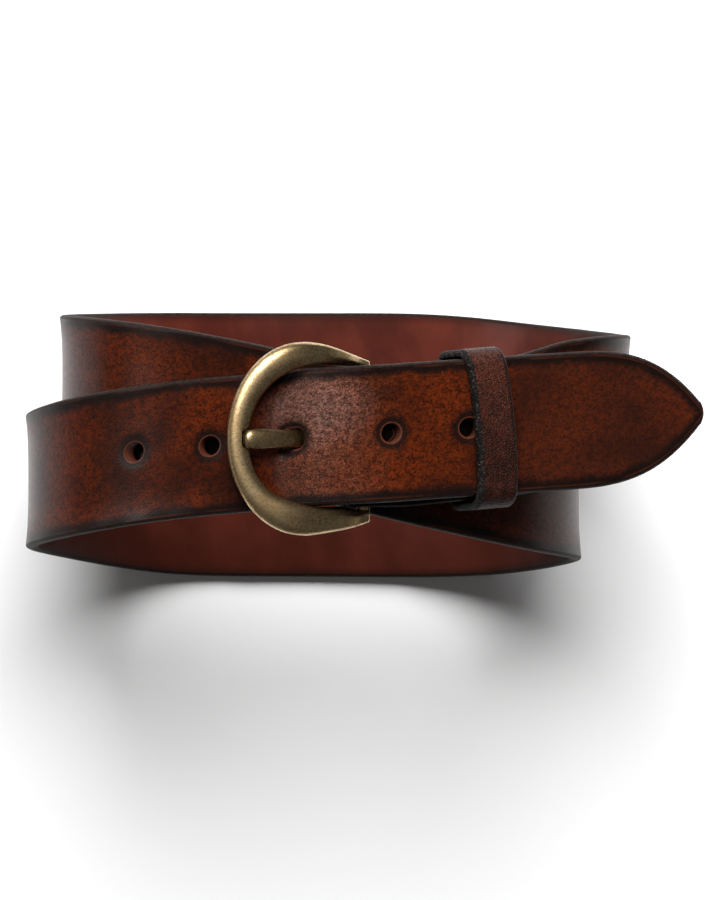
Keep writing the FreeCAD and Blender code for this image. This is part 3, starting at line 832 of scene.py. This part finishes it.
class Look:
    """A material, with short ways to add nodes to it."""

    def __init__(self, name, **constants):
        self.material = bpy.data.materials.new(name)
        self.material.use_nodes = True
        self.tree = self.material.node_tree
        self.shader = self.tree.nodes["Principled BSDF"]
        for key, value in constants.items():
            self.shader.inputs[key.replace("_", " ")].default_value = value

    def node(self, kind, inputs, **settings):
        made = self.tree.nodes.new(kind)
        for key, value in settings.items():
            setattr(made, key, value)
        for key, value in inputs.items():
            if isinstance(value, bpy.types.NodeSocket):
                self.tree.links.new(value, made.inputs[key])
            else:
                made.inputs[key].default_value = value
        return made

    def give(self, socket, value):
        self.tree.links.new(value, self.shader.inputs[socket])

    def attribute(self, name, output="Fac"):
        return self.node("ShaderNodeAttribute", {}, attribute_name=name).outputs[output]

    def noise(self, place, scale, detail=2.0, roughness=0.5, distortion=0.0):
        return self.node("ShaderNodeTexNoise", {
            "Vector": place, "Scale": scale, "Detail": detail, "Roughness": roughness,
            "Distortion": distortion}).outputs["Fac"]

    def math(self, operation, a, b=0.0):
        return self.node("ShaderNodeMath", {0: a, 1: b}, operation=operation).outputs[0]

    def step(self, value, low, high, to_low=0.0, to_high=1.0):
        """A soft step: to_low at low, to_high at high."""
        if low > high:
            low, high, to_low, to_high = high, low, to_high, to_low
        return self.node("ShaderNodeMapRange", {
            "Value": value, "From Min": low, "From Max": high, "To Min": to_low, "To Max": to_high},
            interpolation_type="SMOOTHSTEP").outputs[0]

    def mix(self, factor, a, b):
        return self.node("ShaderNodeMix", {0: factor, 6: a, 7: b}, data_type="RGBA").outputs[2]

    def stretched(self, place, scale):
        return self.node("ShaderNodeMapping", {"Vector": place, "Scale": scale}).outputs[0]

    def bump(self, height, distance, strength=1.0):
        return self.node("ShaderNodeBump", {
            "Height": height, "Distance": distance * MM, "Strength": strength}).outputs[0]


def split_s(look, place):
    """Length along the strap, out of a place on it."""
    return look.node("ShaderNodeSeparateXYZ", {0: place}).outputs["X"]


def rub_and_sheen_masks(look, place):
    """Rubbed grain with a painted sheen over the bar, and a painted highlight by the prong."""
    parts = look.node("ShaderNodeSeparateXYZ", {0: place}).outputs
    start = LINE.s_on_tip_end(-24.0)
    broad = look.math("MULTIPLY", look.step(parts["X"], start, start + 9.0),
                      look.step(parts["X"], start + 39.0, start + 16.0))
    ds = look.math("MULTIPLY", look.math("SUBTRACT", parts["X"], start + 13.0), 1 / 14.0)
    dt = look.math("MULTIPLY", look.math("SUBTRACT", parts["Y"], 8.0), 1 / 10.0)
    from_highlight_spot = look.math("ADD", look.math("MULTIPLY", ds, ds), look.math("MULTIPLY", dt, dt))
    patchy = look.step(look.noise(place, 0.12, 2.0, 0.5), 0.3, 0.7, 0.35, 0.7)
    return look.math("MULTIPLY", broad, patchy), look.step(from_highlight_spot, 1.9, 0.0, 0.0, 0.26)


def pebbles(look, place, size):
    """Height of a fine leather grain: small uneven cells with soft valleys between."""
    drift = look.node("ShaderNodeTexNoise",
                      {"Vector": place, "Scale": 0.9 / size, "Detail": 1.0}).outputs["Color"]
    moved = look.node("ShaderNodeMix", {0: 0.35 * size, 4: place, 5: drift}, data_type="VECTOR",
                      clamp_factor=False).outputs[1]
    cells = look.node("ShaderNodeTexVoronoi", {"Vector": moved, "Scale": 1.0 / size, "Randomness": 1.0},
                      feature="DISTANCE_TO_EDGE").outputs["Distance"]
    valley = look.step(cells, 0.0, 0.28)
    worms = look.noise(place, 1.3 / size, 2.0, 0.6, 0.6)
    return look.math("ADD", look.math("MULTIPLY", valley, 0.6), worms)


def strap_look():
    look = Look("belt_leather", IOR=1.45, Specular_IOR_Level=0.18)
    look.shader.inputs["Specular Tint"].default_value = (1.0, 0.93, 0.9, 1.0)
    place = look.attribute("place", "Vector")
    edge = look.attribute("edge")
    hole = look.attribute("hole")
    side = look.attribute("side")

    broad = look.noise(place, 0.028, 3.0, 0.55)
    patches = look.noise(place, 0.11, 4.0, 0.6, 0.4)
    specks = look.noise(place, 0.6, 5.0, 0.8)
    fine = look.noise(place, 1.5, 4.0, 0.85)
    tone = look.math("ADD", look.math("MULTIPLY", broad, 0.7), look.math("MULTIPLY", patches, 0.3))
    grain_colour = look.mix(look.step(tone, 0.36, 0.60), srgb(43, 15, 6), srgb(83, 30, 7))
    worms = look.noise(place, 1.9, 3.0, 0.65, 0.5)
    rub_and_sheen, painted_highlight = rub_and_sheen_masks(look, place)
    nap = look.step(worms, 0.38, 0.62, 0.3, 1.0)
    # Over the bar the grain is rubbed, and its paler colour there is also a painted sheen.
    grain_colour = look.mix(look.math("MULTIPLY", rub_and_sheen, nap), grain_colour, srgb(124, 70, 47))
    # Painted highlight beside the prong, broken up by the grain's nap.
    grain_colour = look.mix(look.math("MULTIPLY", painted_highlight, nap), grain_colour, srgb(160, 128, 118))
    speckled = look.mix(0.66, grain_colour, srgb(22, 9, 6))
    grain_colour = look.mix(look.step(specks, 0.40, 0.56), speckled, grain_colour)
    dotted = look.mix(0.82, grain_colour, srgb(12, 5, 4))
    grain_colour = look.mix(look.step(fine, 0.38, 0.52), dotted, grain_colour)

    keeper_s = LINE.s_on_tip_end(36.0)
    past_keeper = look.step(split_s(look, place), keeper_s - 8.0, keeper_s + 14.0, 0.0, 0.42)
    grain_colour = look.mix(past_keeper, grain_colour, srgb(38, 18, 13))

    ragged = look.math("ADD", look.math("MULTIPLY", look.noise(place, 0.12, 3.0, 0.6), 0.5),
                       look.math("MULTIPLY", look.noise(place, 0.8, 4.0, 0.8), 0.5))
    reach = look.math("ADD", edge, look.math("MULTIPLY", ragged, -7.0))
    burnt = look.step(reach, 1.0, -1.5)
    grain_colour = look.mix(burnt, grain_colour, srgb(17, 9, 7))

    blot = look.math("ADD", look.math("MULTIPLY", look.noise(place, 0.22, 2.0, 0.5), 0.35),
                     look.math("MULTIPLY", look.noise(place, 0.9, 4.0, 0.8), 0.65))
    ring = look.math("ADD", hole, look.math("MULTIPLY", blot, -4.6))
    ring = look.math("MULTIPLY", look.step(ring, 0.7, -1.0, 0.0, 0.9), look.step(hole, 0.25, 0.8, 0.3, 1.0))
    grain_colour = look.mix(ring, grain_colour, srgb(15, 8, 7))

    line = look.math("MULTIPLY", look.step(edge, 0.95, 1.15), look.step(edge, 1.6, 1.3))
    line = look.math("MULTIPLY", line, look.step(look.noise(place, 0.06, 4.0, 0.7), 0.42, 0.56))
    grain_colour = look.mix(look.math("MULTIPLY", line, 0.28), grain_colour, srgb(84, 38, 20))

    flesh_tone = look.noise(look.stretched(place, (0.8, 0.5, 1.0)), 0.06, 4.0, 0.6)
    flesh = look.mix(look.step(flesh_tone, 0.32, 0.68), srgb(60, 24, 17), srgb(84, 36, 26))
    # Painted shade: the flesh side of the second turn, inside the roll, is darker.
    second_turn_shade = look.step(split_s(look, place), 0.44 * LINE.length, 0.52 * LINE.length, 0.0, 0.42)
    flesh = look.mix(second_turn_shade, flesh, srgb(34, 13, 8))
    flesh = look.mix(look.step(edge, 3.5, 0.6, 0.0, 0.7), flesh, srgb(36, 17, 13))
    colour = look.mix(look.step(side, -0.2, 0.2), flesh, grain_colour)

    rim_tone = look.step(look.noise(place, 0.6, 3.0, 0.6), 0.35, 0.65)
    rim = look.mix(rim_tone, srgb(36, 25, 21), srgb(20, 13, 11))
    # Painted shade: the edges of the fold under the buckle go near black.
    rim = look.mix(look.step(split_s(look, place), FOLD_FADE_S, FOLD_END_S), rim, srgb(11, 7, 6))
    colour = look.mix(look.step(edge, 0.95, 0.7), colour, rim)
    # Hole walls are pale cut leather near the grain side; their darkening further down is painted shade.
    hole_depth_shade = look.step(side, 0.6, -0.7)
    wall = look.mix(hole_depth_shade, srgb(112, 72, 52), srgb(24, 12, 8))
    colour = look.mix(look.step(hole, 0.02, -0.04), colour, wall)
    # Painted shade on the layer below each hole, so the holes read dark.
    under = look.attribute("under")
    colour = look.mix(look.step(under, 6.0, 3.0), colour, srgb(9, 5, 4))
    lip = look.math("MULTIPLY", look.step(hole, 0.0, 0.15), look.step(hole, 0.6, 0.35))
    colour = look.mix(look.math("MULTIPLY", lip, 0.3), colour, srgb(110, 62, 42))
    look.give("Base Color", colour)

    rough = look.math("ADD", look.step(specks, 0.3, 0.7, 0.33, 0.28), look.math("MULTIPLY", rub_and_sheen, 0.25))
    rough = look.math("ADD", rough, look.step(edge, 1.3, 0.6, 0.0, 0.2))
    in_fold = look.step(split_s(look, place), FOLD_FADE_S, FOLD_END_S, 0.0, 0.3)
    rough = look.math("ADD", rough, in_fold)
    rough = look.math("ADD", rough, look.step(side, 0.0, -0.3, 0.0, 0.14))
    rough = look.math("ADD", rough, look.step(edge, 9.0, 2.0, 0.0, 0.08))
    rough = look.math("ADD", rough, look.step(hole, 2.6, 0.6, 0.0, 0.16))
    look.give("Roughness", rough)

    grain_height = look.math("MULTIPLY", pebbles(look, place, 0.55), look.step(side, 0.3, 0.8))
    height = look.math("ADD", grain_height, look.math("MULTIPLY", look.noise(place, 2.2, 4.0, 0.7), 0.5))
    height = look.math("MULTIPLY", height, look.math("ADD", look.math("MULTIPLY", rub_and_sheen, 1.3), 0.2))
    look.give("Normal", look.bump(height, 0.11, 1.0))
    return look.material


def keeper_look():
    look = Look("keeper_leather", IOR=1.45, Specular_IOR_Level=0.18)
    place = look.attribute("place", "Vector")
    left = look.attribute("left")
    side = look.attribute("side")
    patches = look.noise(place, 0.22, 4.0, 0.7, 0.3)
    specks = look.noise(place, 1.3, 5.0, 0.85)
    colour = look.mix(look.step(patches, 0.3, 0.7), srgb(27, 11, 7), srgb(54, 22, 13))
    colour = look.mix(look.step(specks, 0.40, 0.56), look.mix(0.75, colour, srgb(13, 7, 5)), colour)
    along = look.node("ShaderNodeSeparateXYZ", {0: place}).outputs["X"]
    # Painted highlight along the keeper's top run, broken up by the nap.
    rub_and_sheen = look.math("MULTIPLY", look.step(along, 29.0, 34.0), look.step(along, 62.0, 36.0))
    worms = look.noise(place, 1.6, 3.0, 0.7, 0.5)
    rub_and_sheen = look.math("MULTIPLY", rub_and_sheen, look.step(worms, 0.4, 0.6, 0.02, 0.26))
    colour = look.mix(rub_and_sheen, colour, srgb(112, 60, 45))
    colour = look.mix(look.step(side, 0.3, -0.6), colour, srgb(70, 34, 24))
    flecks = look.step(look.noise(place, 1.1, 4.0, 0.8), 0.52, 0.68)
    dark = look.mix(flecks, srgb(10, 7, 6), srgb(74, 64, 58))
    colour = look.mix(look.step(left, 1.45, 0.85), colour, dark)
    colour = look.mix(look.step(left, KEEPER_LENGTH - 1.5, KEEPER_LENGTH - 0.9), colour, srgb(24, 16, 14))
    # Painted highlight: a thin light line along the right rim.
    colour = look.mix(look.step(left, KEEPER_LENGTH - 0.6, KEEPER_LENGTH - 0.2), colour, srgb(70, 52, 46))
    look.give("Base Color", colour)
    rough = look.step(specks, 0.3, 0.7, 0.38, 0.30)
    look.give("Roughness", look.math("ADD", rough, look.step(left, 1.6, 0.9, 0.0, 0.22)))
    fine_height = look.math("MULTIPLY", look.noise(place, 2.2, 4.0, 0.7), 0.5)
    height = look.math("ADD", pebbles(look, place, 0.6), fine_height)
    look.give("Normal", look.bump(height, 0.16, 1.0))
    return look.material


def brass_look():
    look = Look("antique_brass", Metallic=1.0, Coat_Weight=0.2, Coat_Roughness=0.25)
    place = look.attribute("place", "Vector")
    wear_and_shade = look.attribute("wear_and_shade")
    broad = look.noise(place, 0.12, 4.0, 0.6)
    specks = look.noise(place, 1.4, 4.0, 0.75)
    colour = look.mix(look.step(broad, 0.35, 0.65), srgb(178, 149, 106), srgb(206, 179, 136))
    colour = look.mix(look.step(specks, 0.36, 0.58), look.mix(0.55, colour, srgb(84, 64, 38)), colour)
    # Darker low on each section, as patina, and all over the bar, as painted shade.
    colour = look.mix(look.step(wear_and_shade, 0.15, -0.5), colour, srgb(62, 46, 26))
    look.give("Base Color", colour)
    look.give("Roughness", look.step(look.math("ADD", specks, broad), 0.6, 1.3, 0.42, 0.30))
    look.give("Normal", look.bump(look.noise(place, 1.8, 5.0, 0.7), 0.03, 0.6))
    return look.material


def steel_look():
    look = Look("dull_steel", Metallic=1.0)
    place = look.node("ShaderNodeTexCoord", {}).outputs["Object"]
    specks = look.noise(place, 1800.0, 3.0, 0.6)
    look.give("Base Color", look.mix(look.step(specks, 0.3, 0.7), srgb(118, 112, 104), srgb(152, 147, 140)))
    look.give("Roughness", look.step(specks, 0.3, 0.7, 0.48, 0.34))
    look.give("Normal", look.bump(specks, 0.02, 0.5))
    return look.material


def floor_look():
    look = Look("pale_floor", Roughness=0.75)
    place = look.node("ShaderNodeTexCoord", {}).outputs["Object"]
    tone = look.noise(place, 3.0, 2.0, 0.5)
    look.give("Base Color", look.mix(tone, srgb(236, 236, 236), srgb(240, 240, 240)))
    return look.material


def cover(piece, material):
    piece.data.materials.clear()
    piece.data.materials.append(material)


# ---- Stage, light and camera, in metres and watts -------------------------------------------------

CAMERA_PLACE = (0.0, -0.00145, 1.9175)
CAMERA_LENS = 262.0             # millimetres
KEY_PLACE, KEY_SIZE, KEY_POWER = (0.06, 1.5, 1.6), 2.0, 125.0
SIDE_PLACE, SIDE_SIZE, SIDE_POWER = (-1.0, 0.68, 1.2), 0.8, 24.0
ROOM_LIGHT = 0.10
BACKDROP_LIGHT = 0.95


def make_floor(material):
    half = 4000.0
    corners = [(-half, -half, 0), (half, -half, 0), (half, half, 0), (-half, half, 0)]
    floor = make_object("floor", corners, [(0, 1, 2, 3)])
    cover(floor, material)


def soft_light(name, place, size, power, diffuse=True, glossy=True, aim=(0.0, 0.0, 0.05)):
    data = bpy.data.lights.new(name, "AREA")
    data.shape = "DISK"
    data.size = size
    data.energy = power
    lamp = bpy.data.objects.new(name, data)
    bpy.context.scene.collection.objects.link(lamp)
    lamp.location = place
    toward = np.array(aim) - np.array(place)
    lamp.rotation_mode = "QUATERNION"
    lamp.rotation_quaternion = Vector(toward).to_track_quat("-Z", "Y")
    lamp.visible_camera = False
    lamp.visible_diffuse = diffuse
    lamp.visible_glossy = glossy


def make_world(strength):
    """A dim even room for the light, which shows as a pale backdrop."""
    world = bpy.data.worlds.new("soft_room")
    world.use_nodes = True
    tree = world.node_tree
    back = tree.nodes["Background"]
    back.inputs["Color"].default_value = (1.0, 0.99, 0.98, 1.0)
    seen = tree.nodes.new("ShaderNodeLightPath").outputs["Is Camera Ray"]
    shown = tree.nodes.new("ShaderNodeMix")
    shown.inputs[2].default_value = strength
    shown.inputs[3].default_value = BACKDROP_LIGHT
    tree.links.new(seen, shown.inputs[0])
    tree.links.new(shown.outputs[0], back.inputs["Strength"])
    bpy.context.scene.world = world


def make_camera():
    data = bpy.data.cameras.new("camera")
    data.lens = CAMERA_LENS
    data.sensor_width = 36.0
    data.clip_start = 0.05
    data.clip_end = 50.0
    camera = bpy.data.objects.new("camera", data)
    bpy.context.scene.collection.objects.link(camera)
    camera.location = CAMERA_PLACE
    bpy.context.scene.camera = camera


# ---- The scene ----------------------------------------------------------------------------------

def main():
    brass = brass_look()
    steel = steel_look()
    strap = build_strap()
    cover(strap, strap_look())
    frame_ring = build_frame()
    cover(frame_ring, brass)
    prong = build_prong()
    cover(prong, brass)
    keeper = build_keeper()
    cover(keeper, keeper_look())

    for piece, node, body, slot in (
            (strap, "strap", "strap", "strap_leather"),
            (frame_ring, "buckle_frame", "buckle", "antique_brass"),
            (prong, "prong", "prong", "antique_brass"),
            (keeper, "keeper_loop", "keeper", "keeper_leather")):
        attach(piece, body)
        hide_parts(node)
    for node in ("bar_screw_post", "bar_screw", "end_screw_post", "end_screw", "keeper_staple"):
        cover(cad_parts[node], steel)

    make_floor(floor_look())
    soft_light("key", KEY_PLACE, KEY_SIZE, KEY_POWER, glossy=False)
    soft_light("side", SIDE_PLACE, SIDE_SIZE, SIDE_POWER, diffuse=False)
    make_world(ROOM_LIGHT)
    make_camera()
    bpy.context.scene.view_settings.view_transform = "Standard"


main()
